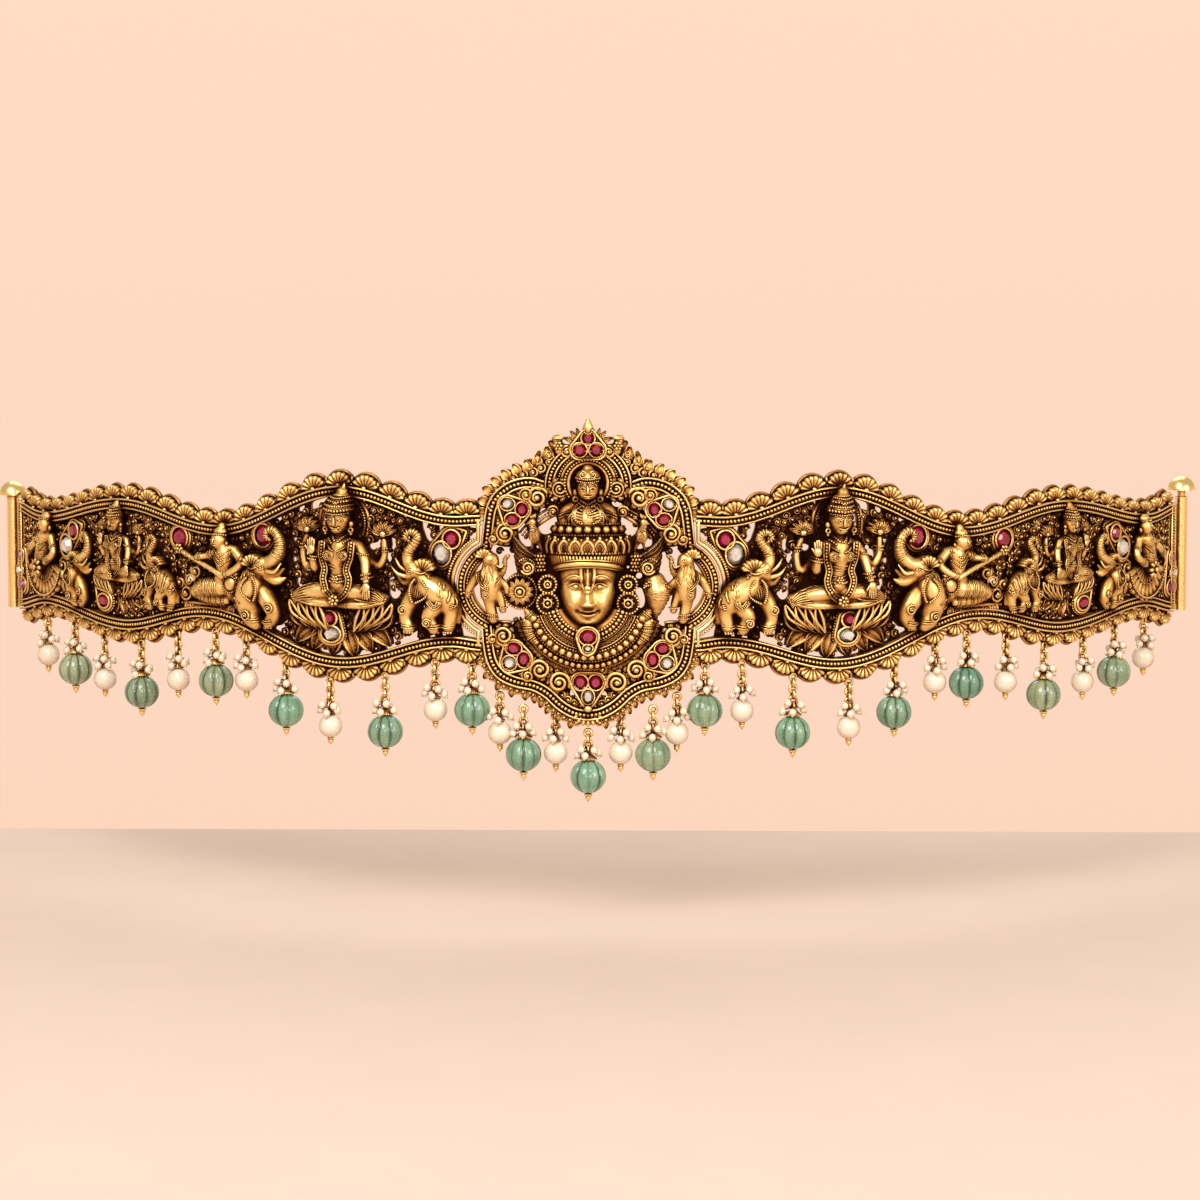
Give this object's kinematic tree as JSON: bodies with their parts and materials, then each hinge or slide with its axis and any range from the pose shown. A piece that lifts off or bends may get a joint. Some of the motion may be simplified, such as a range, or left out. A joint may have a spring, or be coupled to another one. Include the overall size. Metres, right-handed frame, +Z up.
{
  "type": "front section of an oddiyanam waist belt",
  "caption": "Curved front section of a gilt temple waist belt: medallion between two relief wings, set stones, a row of bead drops, and a hinge tube with a lift-out pin at each end.",
  "frame": {"origin": "middle of the medallion's back face, where the belt sits on the waist", "axes": "+X along the belt to its right end as seen from the front, +Y back into the waist, +Z up"},
  "size_m": [0.2852, 0.095, 0.0848],
  "materials": {
    "antique_gold": "antique gilt, bright on raised work and dark red-brown in the recesses",
    "drop_gold": "polished gilt wire and balls",
    "kemp_ruby": "polished pink-red stone, foiled behind",
    "polki": "polished clear whitish stone, foiled behind",
    "pearl": "cream pearl lustre",
    "green_stone": "polished translucent grey-green stone with darker grooves"
  },
  "bodies": {
    "belt": {"medallion": "antique_gold", "wing_left": "antique_gold", "wing_right": "antique_gold", "hinge_tube_left": "antique_gold", "hinge_tube_right": "antique_gold", "rubies_centre": "kemp_ruby", "crystals_centre": "polki", "drop_links_centre": "drop_gold", "rubies_left": "kemp_ruby", "crystals_left": "polki", "drop_links_left": "drop_gold", "rubies_right": "kemp_ruby", "crystals_right": "polki", "drop_links_right": "drop_gold", "bead_centre_1": "green_stone", "bead_centre_2": "pearl", "bead_centre_3": "pearl", "bead_centre_4": "green_stone", "bead_centre_5": "green_stone", "bead_centre_6": "pearl", "bead_centre_7": "pearl", "bead_left_1": "green_stone", "bead_left_2": "pearl", "bead_left_3": "green_stone", "bead_left_4": "pearl", "bead_left_5": "green_stone", "bead_left_6": "pearl", "bead_left_7": "green_stone", "bead_left_8": "pearl", "bead_left_9": "green_stone", "bead_left_10": "pearl", "bead_left_11": "green_stone", "bead_left_12": "pearl", "bead_right_1": "green_stone", "bead_right_2": "pearl", "bead_right_3": "green_stone", "bead_right_4": "pearl", "bead_right_5": "green_stone", "bead_right_6": "pearl", "bead_right_7": "green_stone", "bead_right_8": "pearl", "bead_right_9": "green_stone", "bead_right_10": "pearl", "bead_right_11": "green_stone", "bead_right_12": "pearl"},
    "pin_left": {"hinge_pin_left": "antique_gold"},
    "pin_right": {"hinge_pin_right": "antique_gold"}
  },
  "joints": [
    {"name": "pin_left_slide", "type": "slide", "parent": "belt", "child": "pin_left", "axis": [0, 0, 1], "range_m": [0, 0.024]},
    {"name": "pin_right_slide", "type": "slide", "parent": "belt", "child": "pin_right", "axis": [0, 0, 1], "range_m": [-0.0017, 0.022]}
  ]
}
